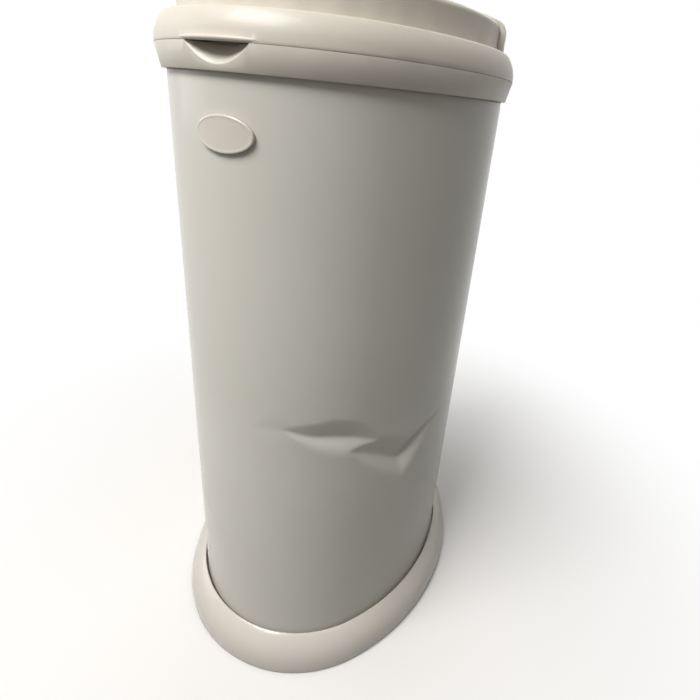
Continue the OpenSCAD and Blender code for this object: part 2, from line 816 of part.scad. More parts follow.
// Rear hood, fixed to the lid: the open hatch slides in under it
module hood() {
    color("#d2cdc4") difference() {
        union() {
            difference() {
                intersection() {
                    hood_solid(0, band_z);
                    hood_bow_plan(0);
                }
                hood_solid(hood_wall, band_z - cut);
            }
            difference() {
                intersection() {
                    hood_solid(0, band_z);
                    difference() {
                        hood_bow_plan(0);
                        hood_bow_plan(hood_wall);
                    }
                }
                hood_passage();
                dome_solid(-seat_fit, band_z - cut);
            }
            at_hood_screws() translate([0, 0, deck_z]) cylinder(d = hood_boss, h = hood_height - 2 * hood_wall);
            intersection() {
                at_hood_screws() translate([0, 0, deck_z]) cylinder(d = hood_boss, h = 2 * hood_height);
                difference() {
                    hood_solid(0, band_z);
                    oval_block(0, band_z, deck_z + hood_height / 2);
                }
            }
        }
        at_hood_screws() translate([0, 0, deck_z - cut]) cylinder(d = screw_d, h = hood_screw_grip + 2 * cut);
    }
}

// Round column, bowed to the front, that bounds the hood's front edge
module hood_bow_plan(t) {
    translate([0, hood_bow - hood_front, 0]) cylinder(r = hood_bow - t, h = hood_z + cut, $fn = 360);
}

// Slot in the hood's front wall that the hatch passes through
module hood_passage() {
    block([-passage_half_w, -hood_front - cut, deck_z - cut],
          [passage_half_w, hood_wall - hood_front + bow_depth + cut, crown_z + 0.8]);
}

// Screws that hold the hood, set from inside the lid
module hood_screws() {
    color("#8f9194") at_hood_screws() translate([0, 0, deck_z - lid_wall]) screw_up(lid_wall + hood_screw_grip);
}

// Sliding hatch, flat on top and rounded down to its edge
module hatch() {
    color("#dad6cd") difference() {
        union() {
            translate([0, -hatch_centre, 0]) oval_sweep(hatch_width, hatch_length)
                dome_face(0, hatch_edge, hatch_flat, hatch_radius, crown_z, hatch_z, 0);
            translate([0, 0, hatch_z]) linear_extrude(hatch_thick) hatch_oval(hatch_flat);
        }
        translate([0, 0, grip_z]) linear_extrude(hatch_thick) grip_plan(seat_fit);
        at_grip_screws() grip_screw_shape();
    }
}

// Plan of the grip: it follows the hatch's front edge, with a straight back
module grip_plan(extra = 0) {
    intersection() {
        translate([0, hatch_end_y]) circle(r = grip_r + extra, $fn = 180);
        translate([-grip_width / 2 - extra, grip_front - extra])
            square([grip_width + 2 * extra, grip_depth + 2 * extra]);
    }
}

module at_grip_screws() {
    for (side = [-1, 1]) translate([side * grip_screw_x, grip_screw_y, 0]) children();
}

// A countersunk screw set up into the grip from the hatch's underside
module grip_screw_shape() {
    sink = (screw_head - screw_d) / 2;
    translate([0, 0, hatch_z]) cylinder(d1 = screw_head, d2 = screw_d, h = sink);
    translate([0, 0, hatch_z]) cylinder(d = screw_d, h = grip_screw_length);
}

// Screws that hold the grip
module grip_screws() {
    color("#8f9194") at_grip_screws() grip_screw_shape();
}

// Plan of the brow, with two rounded corners at its front
module brow_plan() {
    inner = brow_width / 2 - brow_corner;
    back = grip_front + 2;
    translate([-inner, brow_front]) square([2 * inner, back - brow_front]);
    translate([-brow_width / 2, brow_front + brow_corner])
        square([brow_width, back - brow_front - brow_corner]);
    for (s = [-1, 1]) translate([s * inner, brow_front + brow_corner]) circle(r = brow_corner);
}

// Grip: a raised bar, with a slot for the child lock through its brow
module grip() {
    color("#d4cfc6") difference() {
        union() {
            translate([0, 0, grip_z]) linear_extrude(grip_top - grip_z) grip_plan();
            translate([0, 0, brow_z]) linear_extrude(brow_height) brow_plan();
        }
        block([-lock_width - lock_gap - slide_fit, lock_y - lock_thick / 2 - slide_fit, brow_z - cut],
              [lock_travel - lock_gap + slide_fit, lock_y + lock_thick / 2 + slide_fit, brow_top + cut]);
        at_grip_screws() grip_screw_shape();
    }
}

// Child lock: a slider that hangs through the brow, with a thumb pad on top
// and a lip under the brow
module lock_slider() {
    x0 = -lock_width - lock_gap;
    lip_top = brow_z - slide_fit;
    lip = 1;
    color("#a8a39a") {
        block([x0, lock_y - lock_thick / 2, lock_low], [-lock_gap, lock_y + lock_thick / 2, lock_top]);
        block([x0, lock_y - lock_pad / 2, brow_top + slide_fit], [-lock_gap, lock_y + lock_pad / 2, lock_top]);
        block([x0, lock_y - lock_thick / 2 - lip, lip_top - lip], [-lock_gap, lock_y, lip_top]);
    }
}

// Rubber seal round the aperture, under the hatch
module hatch_seal() {
    color("#77756f") translate([0, 0, deck_z - seal_groove]) linear_extrude(seal_groove + hatch_gap)
        seal_outline();
}

// Plan of that seal
module seal_outline() {
    difference() {
        hatch_oval(aperture_inset - seal_out - hatch_seal_w);
        hatch_oval(aperture_inset - seal_out);
    }
}

// Two T-shaped shoes that hold the hatch down in the lid's tracks
module hatch_shoes() {
    foot_top = deck_z - bezel_thick - slide_fit;
    color("#c9c5bd") for (s = [-1, 1]) translate([s * track_x, -hatch_centre, 0]) {
        block([-shoe_w / 2, -shoe_length / 2, foot_top - cut], [shoe_w / 2, shoe_length / 2, hatch_z]);
        block([-shoe_foot_w / 2, -shoe_length / 2, foot_top - shoe_foot],
              [shoe_foot_w / 2, shoe_length / 2, foot_top]);
    }
}

base();
feet();
body_shell();
floor_plate();
tray_spacers();
tray_screws();
badge();
badge_clips();
collar();
hinge_pin();
bag_ring();
ring_hinge_pin();
lid();
lid_seal();
hood();
hood_screws();
hatch();
hatch_seal();
hatch_shoes();
grip();
grip_screws();
lock_slider();
keeper();
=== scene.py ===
"""Dresses the oval steel nappy bin for looks.

The CAD frame gives every hard piece its place. This script adds the dented
steel body and the bare oval badge in mesh code, rounds the edges of the
moulded pieces, gives each piece the finish of its real material, and sets up
the camera, the floor and a plain soft studio light.
"""

import logging
import math
from collections.abc import Callable, Sequence
from dataclasses import dataclass, field
from enum import Enum
from typing import Any, Protocol

import bmesh
import bpy
import numpy as np
from mathutils import Matrix, Vector


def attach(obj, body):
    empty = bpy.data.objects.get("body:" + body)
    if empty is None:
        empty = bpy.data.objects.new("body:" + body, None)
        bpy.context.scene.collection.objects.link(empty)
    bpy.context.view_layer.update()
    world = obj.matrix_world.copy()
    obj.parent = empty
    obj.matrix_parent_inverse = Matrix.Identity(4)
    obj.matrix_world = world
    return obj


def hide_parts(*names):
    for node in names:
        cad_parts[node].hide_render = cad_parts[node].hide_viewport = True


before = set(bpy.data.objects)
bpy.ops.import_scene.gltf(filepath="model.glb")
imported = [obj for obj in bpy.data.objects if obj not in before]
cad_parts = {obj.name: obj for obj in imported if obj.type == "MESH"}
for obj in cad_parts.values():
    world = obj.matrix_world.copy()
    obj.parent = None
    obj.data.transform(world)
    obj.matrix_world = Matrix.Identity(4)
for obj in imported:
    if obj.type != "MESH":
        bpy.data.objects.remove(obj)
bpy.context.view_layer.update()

LOG = logging.getLogger("nappy_bin")
MM = 0.001

# The sRGB curve: a straight foot up to the knee, and a power above it
SRGB_KNEE = 0.04045
SRGB_SLOPE = 12.92
SRGB_OFFSET = 0.055
SRGB_POWER = 2.4

# Inputs of the colour mix node by number, as their names repeat
MIX_SHARE, MIX_FIRST, MIX_SECOND = 0, 6, 7

# Radians that a wave texture turns through per metre at a scale of 1
WAVE_TURN = 20.0

# CAD nodes: points this close are one, and sharper bends count as edges
WELD_MM = 0.02
EDGE_ANGLE = 28.0


def linear(colour: str) -> tuple[float, float, float, float]:
    """Turns an sRGB hex colour into the linear values that shaders use.

    Args:
        colour: Six hex digits after a #.

    Returns:
        Red, green, blue and an alpha of 1, all linear.
    """
    red, green, blue = (
        part / SRGB_SLOPE
        if part <= SRGB_KNEE
        else ((part + SRGB_OFFSET) / (1 + SRGB_OFFSET)) ** SRGB_POWER
        for part in (int(colour[i : i + 2], 16) / 255 for i in (1, 3, 5))
    )
    return red, green, blue, 1.0


def per_metre(size_mm: float) -> float:
    """Gives the texture scale at which one cell of a pattern is size_mm wide."""
    return 1.0 / (size_mm * MM)


# ---------------------------------------------------------------- shader nodes


def add_node(
    tree: bpy.types.NodeTree,
    kind: str,
    values: dict[str | int, Any] | None = None,
    links: dict[str | int, bpy.types.NodeSocket] | None = None,
    **settings: Any,
) -> bpy.types.Node:
    """Adds one node to a shader tree.

    Args:
        tree: The tree that gets the node.
        kind: The node's type, such as ShaderNodeBump.
        values: Plain values for inputs, by name or number.
        links: Output sockets for inputs, by name or number.
        **settings: Properties of the node itself.

    Returns:
        The new node.
    """
    node = tree.nodes.new(kind)
    for name, value in settings.items():
        setattr(node, name, value)
    for name, value in (values or {}).items():
        node.inputs[name].default_value = value
    for name, socket in (links or {}).items():
        tree.links.new(socket, node.inputs[name])
    return node


def noise(
    tree: bpy.types.NodeTree,
    place: bpy.types.NodeSocket,
    size_mm: float,
    detail: float = 0.0,
    distortion: float = 0.0,
) -> bpy.types.NodeSocket:
    """Adds a soft noise of a real size.

    Args:
        tree: The tree that gets the node.
        place: Output socket of the place on the object, in metres.
        size_mm: Width of one patch of the noise.
        detail: Octaves of finer noise on top.
        distortion: How far the patches are dragged out of shape.

    Returns:
        Output socket of a value from 0 to 1.
    """
    values = {"Scale": per_metre(size_mm), "Detail": detail, "Distortion": distortion}
    return add_node(tree, "ShaderNodeTexNoise", values, {"Vector": place}).outputs["Fac"]


def bump(
    tree: bpy.types.NodeTree,
    height: bpy.types.NodeSocket,
    strength: float,
    depth_mm: float,
    under: bpy.types.NodeSocket | None = None,
) -> bpy.types.NodeSocket:
    """Adds a relief of a real depth.

    Args:
        tree: The tree that gets the node.
        height: Output socket of the relief, from 0 to 1.
        strength: Share of the relief that shows.
        depth_mm: Depth between 0 and 1.
        under: Output socket of a coarser relief below this one.

    Returns:
        Output socket of the surface's direction.
    """
    links = {"Height": height}
    if under is not None:
        links["Normal"] = under
    values = {"Strength": strength, "Distance": depth_mm * MM}
    return add_node(tree, "ShaderNodeBump", values, links).outputs[0]


def spread(
    tree: bpy.types.NodeTree,
    value: bpy.types.NodeSocket,
    source: tuple[float, float],
    target: tuple[float, float],
) -> bpy.types.NodeSocket:
    """Moves a value from one range to another and holds it there.

    Args:
        tree: The tree that gets the node.
        value: Output socket of the value.
        source: The range that it comes in.
        target: The range that it gets.

    Returns:
        Output socket of the new value.
    """
    values = dict(zip(("From Min", "From Max", "To Min", "To Max"), (*source, *target)))
    return add_node(tree, "ShaderNodeMapRange", values, {"Value": value}).outputs["Result"]


def two_tones(
    tree: bpy.types.NodeTree,
    value: bpy.types.NodeSocket,
    low: tuple[float, str],
    high: tuple[float, str],
) -> bpy.types.NodeSocket:
    """Goes from one colour to another while a value rises.

    Args:
        tree: The tree that gets the node.
        value: Output socket of the value.
        low: Value at which the change starts, and the colour up to it.
        high: Value at which the change ends, and the colour from it.

    Returns:
        Output socket of the colour.
    """
    ramp = add_node(tree, "ShaderNodeValToRGB", links={"Fac": value})
    for element, (place, colour) in zip(ramp.color_ramp.elements, (low, high)):
        element.position = place
        element.color = linear(colour)
    return ramp.outputs["Color"]


def mix_colours(
    tree: bpy.types.NodeTree, share: bpy.types.NodeSocket, first: str, second: str
) -> bpy.types.NodeSocket:
    """Mixes two colours.

    Args:
        tree: The tree that gets the node.
        share: Output socket of the second colour's share.
        first: The first colour.
        second: The second colour.

    Returns:
        Output socket of the colour.
    """
    mix = add_node(
        tree,
        "ShaderNodeMix",
        {MIX_FIRST: linear(first), MIX_SECOND: linear(second)},
        {MIX_SHARE: share},
        data_type="RGBA",
    )
    return mix.outputs["Result"]


def seen_rays(tree: bpy.types.NodeTree) -> bpy.types.NodeSocket:
    """Tells the rays that show a thing from those that only light others.

    Args:
        tree: The tree that gets the nodes.

    Returns:
        Output socket of 1 for camera, glossy and transmission rays, else 0.
    """
    rays = add_node(tree, "ShaderNodeLightPath").outputs
    direct = add_node(
        tree,
        "ShaderNodeMath",
        links={0: rays["Is Camera Ray"], 1: rays["Is Glossy Ray"]},
        operation="MAXIMUM",
    )
    seen = add_node(
        tree,
        "ShaderNodeMath",
        links={0: direct.outputs[0], 1: rays["Is Transmission Ray"]},
        operation="MAXIMUM",
    )
    return seen.outputs[0]


# ---------------------------------------------------------------- finishes


class Finish(Protocol):
    """What every finish offers: a name and a material built on demand."""

    name: str

    def shade(self, tree: bpy.types.NodeTree) -> bpy.types.Node:
        """Adds the finish's nodes and returns its last shader."""


def material_for(finish: Finish) -> bpy.types.Material:
    """Builds a finish once, and gives the same material after that.

    Args:
        finish: The finish to build.

    Returns:
        Its material.
    """
    known = bpy.data.materials.get(finish.name)
    if known is not None:
        return known
    material = bpy.data.materials.new(finish.name)
    material.use_nodes = True
    tree = material.node_tree
    tree.nodes.clear()
    shader = finish.shade(tree)
    add_node(tree, "ShaderNodeOutputMaterial", links={"Surface": shader.outputs[0]})
    return material


@dataclass(frozen=True)
class PowderCoatedSteel:
    """Rolled steel sheet with a baked gloss powder coat.

    Powder melts into a skin with a faint orange peel, about 2 mm wide on the
    real coat and drawn 5 mm wide so that it shows, so reflections keep soft,
    broken edges. The rolled sheet behind it is not quite flat, which draws
    them out into upright streaks. The index is below a real coat's 1.5, as
    the white room would otherwise wash out the colour.
    """

    name: str = "powder_coated_steel"
    colour: str = "#d3d1c9"
    shadow_tone: str = "#cac8bf"
    roughness: tuple[float, float] = (0.17, 0.26)
    ior: float = 1.24
    tone_mm: float = 110.0
    smear_mm: float = 45.0
    peel_mm: float = 5.0
    peel_depth_mm: float = 0.05
    roll_mm: float = 26.0
    roll_depth_mm: float = 0.2
    roll_squash: float = 0.06

    def shade(self, tree: bpy.types.NodeTree) -> bpy.types.Node:
        """Builds the coat.

        Args:
            tree: The material's node tree.

        Returns:
            The coat's shader.
        """
        place = add_node(tree, "ShaderNodeTexCoord").outputs["Object"]
        tone = noise(tree, place, self.tone_mm, detail=1.0)
        upright = add_node(
            tree, "ShaderNodeMapping", {"Scale": (1.0, 1.0, self.roll_squash)}, {"Vector": place}
        )
        rolled = noise(tree, upright.outputs[0], self.roll_mm, detail=2.0)
        smear = noise(tree, place, self.smear_mm, detail=5.0)
        waves = bump(tree, rolled, 0.3, self.roll_depth_mm)
        peel = noise(tree, place, self.peel_mm)
        return add_node(
            tree,
            "ShaderNodeBsdfPrincipled",
            {"IOR": self.ior},
            {
                "Base Color": mix_colours(tree, tone, self.shadow_tone, self.colour),
                "Roughness": spread(tree, smear, (0.2, 0.8), self.roughness),
                "Normal": bump(tree, peel, 0.2, self.peel_depth_mm, waves),
            },
        )


@dataclass(frozen=True)
class MouldedPlastic:
    """Injection-moulded plastic, from a polished, satin or matt steel mould.

    The mould's polish sets how sharp reflections are, and a fine ripple in
    them shows where the wall sank as it cooled. Its grain is about 0.1 mm on
    the real thing and drawn 0.5 to 1.2 mm wide so that it shows. Flow of the
    melt leaves a slow change of tone, and handling one of gloss.
    """

    name: str
    colour: str
    flow_tone: str
    roughness: tuple[float, float]
    grain_mm: float
    grain_depth_mm: float
    coat: float = 0.0
    coat_roughness: float = 0.05
    ior: float = 1.54
    flow_mm: float = 120.0
    handled_mm: float = 30.0
    sink_mm: float = 34.0
    sink_depth_mm: float = 0.12

    def shade(self, tree: bpy.types.NodeTree) -> bpy.types.Node:
        """Builds the plastic.

        Args:
            tree: The material's node tree.

        Returns:
            The plastic's shader.
        """
        place = add_node(tree, "ShaderNodeTexCoord").outputs["Object"]
        flow = noise(tree, place, self.flow_mm, detail=5.0, distortion=0.6)
        handled = noise(tree, place, self.handled_mm, detail=6.0)
        sink = noise(tree, place, self.sink_mm, detail=1.0)
        ripple = bump(tree, sink, 0.4, self.sink_depth_mm)
        grain = noise(tree, place, self.grain_mm)
        return add_node(
            tree,
            "ShaderNodeBsdfPrincipled",
            {
                "IOR": self.ior,
                "Coat Weight": self.coat,
                "Coat Roughness": self.coat_roughness,
            },
            {
                "Base Color": two_tones(tree, flow, (0.25, self.flow_tone), (0.75, self.colour)),
                "Roughness": spread(tree, handled, (0.3, 0.7), self.roughness),
                "Normal": bump(tree, grain, 0.5, self.grain_depth_mm, ripple),
            },
        )


@dataclass(frozen=True)
class Rubber:
    """Moulded rubber, matt and slightly bloomed.

    Carbon black and a talc-like bloom give the eye a soft dark surface with
    paler cloudy patches and a grain of about 0.8 mm, drawn coarse to show.
    """

    name: str
    colour: str
    bloom: str
    roughness: float = 0.72
    sheen: float = 0.15
    ior: float = 1.52
    cloud_mm: float = 18.0
    grain_mm: float = 0.8
    grain_depth_mm: float = 0.08

    def shade(self, tree: bpy.types.NodeTree) -> bpy.types.Node:
        """Builds the rubber.

        Args:
            tree: The material's node tree.

        Returns:
            The rubber's shader.
        """
        place = add_node(tree, "ShaderNodeTexCoord").outputs["Object"]
        cloud = noise(tree, place, self.cloud_mm, detail=6.0)
        grain = noise(tree, place, self.grain_mm, detail=2.0)
        return add_node(
            tree,
            "ShaderNodeBsdfPrincipled",
            {"IOR": self.ior, "Roughness": self.roughness, "Sheen Weight": self.sheen},
            {
                "Base Color": two_tones(tree, cloud, (0.4, self.colour), (0.75, self.bloom)),
                "Normal": bump(tree, grain, 0.6, self.grain_depth_mm),
            },
        )


@dataclass(frozen=True)
class PlatedSteel:
    """Zinc-plated or bright steel, turned and tumbled.

    Turning leaves fine rings round the pins, which lie along X. They are
    drawn 1.9 mm apart, many times their real pitch, so that they show. The
    plating clouds the shine in patches.
    """

    name: str
    colour: str
    cloud: str
    roughness: tuple[float, float] = (0.29, 0.42)
    patch_mm: float = 5.0
    ring_mm: float = 1.885
    ring_depth_mm: float = 0.02

    def shade(self, tree: bpy.types.NodeTree) -> bpy.types.Node:
        """Builds the metal.

        Args:
            tree: The material's node tree.

        Returns:
            The metal's shader.
        """
        place = add_node(tree, "ShaderNodeTexCoord").outputs["Object"]
        patch = noise(tree, place, self.patch_mm, detail=5.0)
        scale = 2 * math.pi * per_metre(self.ring_mm) / WAVE_TURN
        rings = add_node(
            tree,
            "ShaderNodeTexWave",
            {"Scale": scale, "Distortion": 1.5, "Detail": 2.0},
            {"Vector": place},
        )
        return add_node(
            tree,
            "ShaderNodeBsdfPrincipled",
            {"Metallic": 1.0},
            {
                "Base Color": two_tones(tree, patch, (0.35, self.cloud), (0.7, self.colour)),
                "Roughness": spread(tree, patch, (0.3, 0.7), self.roughness),
                "Normal": bump(tree, rings.outputs["Fac"], 0.3, self.ring_depth_mm),
            },
        )


COATED_STEEL = PowderCoatedSteel()
BASE_ABS = MouldedPlastic(
    "gloss_abs_base", "#cfc9c0", "#c7c1b8", (0.15, 0.24), 1.2, 0.01, coat=0.2, ior=1.5
)
COLLAR_ABS = MouldedPlastic(
    "satin_abs_collar", "#d5cfc4", "#cdc7bb", (0.4, 0.48), 1.2, 0.01, coat=0.1, ior=1.46
)
LID_ABS = MouldedPlastic(
    "satin_abs_lid", "#d0c9bd", "#c9c2b5", (0.4, 0.48), 1.2, 0.01, coat=0.1, ior=1.46
)
LOCK_ABS = MouldedPlastic("satin_abs_lock", "#a9a498", "#9c968a", (0.35, 0.45), 0.5, 0.05)
BADGE_ABS = MouldedPlastic(
    "gloss_abs_badge", "#cfcabf", "#c8c2b5", (0.16, 0.24), 1.0, 0.01, coat=0.4
)
INNER_PP = MouldedPlastic(
    "satin_polypropylene", "#dcd8cf", "#d0cbc0", (0.38, 0.5), 0.5, 0.06, ior=1.49
)
FOOT_RUBBER = Rubber("moulded_rubber_feet", "#2c2c2e", "#4a4a4b")
SEAL_RUBBER = Rubber("moulded_rubber_seal", "#6f6c66", "#85827b")
PLATED_STEEL = PlatedSteel("plated_steel", "#b9bcc0", "#93969a")


class Slot(Enum):
    """The record's material slots."""

    BASE = "base_plastic"
    RUBBER = "rubber"
    STEEL = "coated_steel"
    INNER = "inner_plastic"
    SCREW = "screw_steel"
    BADGE = "badge_plastic"
    COLLAR = "collar_plastic"
    LID = "lid_plastic"
    LOCK = "lock_plastic"
    SEAL = "seal_rubber"


# ---------------------------------------------------------------- mesh code


@dataclass(frozen=True)
class Oval:
    """Plan of four arcs that meet smoothly, given by its width and depth in mm.

    The centres of two neighbouring arcs and the oval's middle are the corners
    of a triangle with sides of 3, 4 and 5 quarters. A place on the oval is
    named by the direction that the surface faces there, as an angle in
    degrees: -90 is the front, 0 the right side and 90 the back.
    """

    width: float = 246.0
    depth: float = 306.0
    end_leg: int = 3
    side_leg: int = 4
    slant: int = 5

    @property
    def quarter(self) -> float:
        """A quarter of the difference between depth and width."""
        return (self.depth - self.width) / 4

    @property
    def end_radius(self) -> float:
        """Radius of the arcs at the front and the back."""
        return self.width / 2 - self.quarter

    @property
    def side_radius(self) -> float:
        """Radius of the arcs at the sides."""
        return self.end_radius + self.slant * self.quarter

    def place(self, angles: np.ndarray, outs: np.ndarray, heights: np.ndarray) -> np.ndarray:
        """Places points round the oval.

        Args:
            angles: Facing angles in degrees.
            outs: Distances out from the oval in mm.
            heights: Heights in mm.

        Returns:
            Points in metres, with one more axis than the inputs.
        """
        turn = np.radians(angles)
        cosine, sine = np.cos(turn), np.sin(turn)
        side = np.abs(sine) < self.end_leg / self.slant
        radius = np.where(side, self.side_radius, self.end_radius) + outs
        centre_x = np.where(side, -self.side_leg * self.quarter * np.sign(cosine), 0.0)
        centre_y = np.where(side, 0.0, self.end_leg * self.quarter * np.sign(sine))
        x = centre_x + radius * cosine
        y = centre_y + radius * sine
        return np.stack([x, y, heights + 0 * x], axis=-1) * MM

    def along(self, angles: np.ndarray) -> np.ndarray:
        """Distance round the surface from the front, in mm, to the right.

        Args:
            angles: Facing angles in degrees, from -90 to 90.

        Returns:
            Distances in mm.
        """
        turn = np.radians(angles + 90)
        meet = math.atan2(self.end_leg, self.side_leg)
        first, last = math.pi / 2 - meet, math.pi / 2 + meet
        front = np.minimum(turn, first) * self.end_radius
        side = np.clip(turn - first, 0, last - first) * self.side_radius
        back = np.maximum(turn - last, 0) * self.end_radius
        return front + side + back


def grid_mesh(name: str, points: np.ndarray, closed: bool) -> bpy.types.Object:
    """Makes a smooth object from a grid of points whose last row joins the first.

    Args:
        name: The object's name.
        points: Points in metres, as rows by columns by three.
        closed: Whether the last column joins the first as well.

    Returns:
        The object, linked to the scene.
    """
    rows, columns = points.shape[:2]
    down = np.arange(columns if closed else columns - 1)
    i, j = (a.ravel() for a in np.meshgrid(np.arange(rows), down, indexing="ij"))
    i2, j2 = (i + 1) % rows, (j + 1) % columns
    quads = np.stack([i * columns + j, i2 * columns + j, i2 * columns + j2, i * columns + j2], 1)
    mesh = bpy.data.meshes.new(name)
    mesh.from_pydata(points.reshape(-1, 3).tolist(), [], quads.tolist())
    mesh.shade_smooth()
    mesh.update()
    made = bpy.data.objects.new(name, mesh)
    bpy.context.scene.collection.objects.link(made)
    return made


def soft_steps(stops: Sequence[tuple[float, float]]) -> np.ndarray:
    """Places along a line, closer together where they need to be.

    Args:
        stops: Ends of each stretch and the spacing up to the next end.

    Returns:
        The places, in rising order.
    """
    runs = [
        np.linspace(a, b, max(2, round(abs(b - a) / step) + 1))[:-1]
        for (a, step), (b, _) in zip(stops, stops[1:])
    ]
    return np.concatenate([*runs, [stops[-1][0]]])


class EdgeSize(Enum):
    """How far the edges of a moulded piece are broken, in mm."""

    FINE = 0.15
    SMALL = 0.3
    MEDIUM = 0.6


def break_edges(piece: bpy.types.Object, size: EdgeSize) -> None:
    """Rounds the sharp edges of a CAD node with modifiers alone.

    Args:
        piece: The node.
        size: How far the edges are rounded.
    """
    weld = piece.modifiers.new("weld", "WELD")
    weld.merge_threshold = WELD_MM * MM
    bevel = piece.modifiers.new("edges", "BEVEL")
    bevel.width = size.value * MM
    bevel.segments = 2
    bevel.limit_method = "ANGLE"
    bevel.angle_limit = math.radians(EDGE_ANGLE)
    bevel.use_clamp_overlap = True
    bevel.harden_normals = True


def dress(node: str, finish: Finish, size: EdgeSize | None = None) -> None:
    """Gives a CAD node its finish, and rounds its edges.

    Args:
        node: The node's name.
        finish: The finish it gets.
        size: How far its edges are rounded, if at all.
    """
    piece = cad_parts[node]
    piece.data.materials.clear()
    piece.data.materials.append(material_for(finish))
    if size is not None:
        break_edges(piece, size)
    LOG.info("dressed %s in %s", node, finish.name)


# ---------------------------------------------------------------- sub-assemblies


@dataclass(frozen=True)
class Crease:
    """One creased hollow: a valley line with a facet above and one below.

    Each point of the line is a distance round from the front, a height and a
    depth, all in mm. above and below are how far the facets reach where the
    line is deepest. The upper one is nearly flat up to its end, and the lower
    one runs out gently: facet and fade are the powers that shape them.
    softness rounds the valley itself. blur rounds the corners of the line,
    which is sampled every step, over kernel_half samples to either side.
    Where the line is shallow the facets are shorter, by the power narrowing
    and down to the share narrowest.
    """

    line: tuple[tuple[float, float, float], ...]
    above: float
    below: float
    softness: float = 1.4
    facet: float = 1.3
    fade: float = 2.8
    step: float = 0.5
    blur: float = 3.2
    kernel_half: int = 16
    margin: float = 20.0
    narrowest: float = 0.15
    narrowing: float = 0.8

    def depth(self, along: np.ndarray, heights: np.ndarray) -> np.ndarray:
        """Works out how deep the hollow is.

        Args:
            along: Distances round from the front in mm.
            heights: Heights in mm.

        Returns:
            Depths in mm, 0 outside the hollow.
        """
        half = self.kernel_half
        places, levels, depths = np.array(self.line).T
        steps = np.arange(places[0] - self.margin, places[-1] + self.margin, self.step)
        kernel = np.exp(-0.5 * (np.arange(-half, half + 1) * self.step / self.blur) ** 2)
        kernel /= kernel.sum()
        valley = np.convolve(np.interp(steps, places, levels), kernel, "same")
        valley[:half], valley[-half:] = valley[half], valley[-half - 1]
        deep = np.convolve(np.interp(steps, places, depths, left=0, right=0), kernel, "same")
        rise = heights - np.interp(along, steps, valley)
        rise = np.sign(rise) * (np.sqrt(rise**2 + self.softness**2) - self.softness)
        here = np.interp(along, steps, deep, left=0, right=0)
        size = np.clip(here / depths.max(), self.narrowest, 1) ** self.narrowing
        upper = np.clip(1 - rise / (self.above * size), 0, 1) ** self.facet
        lower = np.clip(1 + rise / (self.below * size), 0, 1) ** self.fade
        return here * np.where(rise > 0, upper, lower)


@dataclass(frozen=True)
class Bowl:
    """The broad shallow hollow round the creases, in mm."""

    depth: float = 1.3
    along: float = 112.0
    height: float = 238.0
    along_reach: float = 62.0
    height_reach: float = 46.0

    def depth_at(self, along: np.ndarray, heights: np.ndarray) -> np.ndarray:
        """Works out how deep the bowl is.

        Args:
            along: Distances round from the front in mm.
            heights: Heights in mm.

        Returns:
            Depths in mm.
        """
        across = ((along - self.along) / self.along_reach) ** 2
        up = ((heights - self.height) / self.height_reach) ** 2
        return self.depth * np.exp(-across - up)


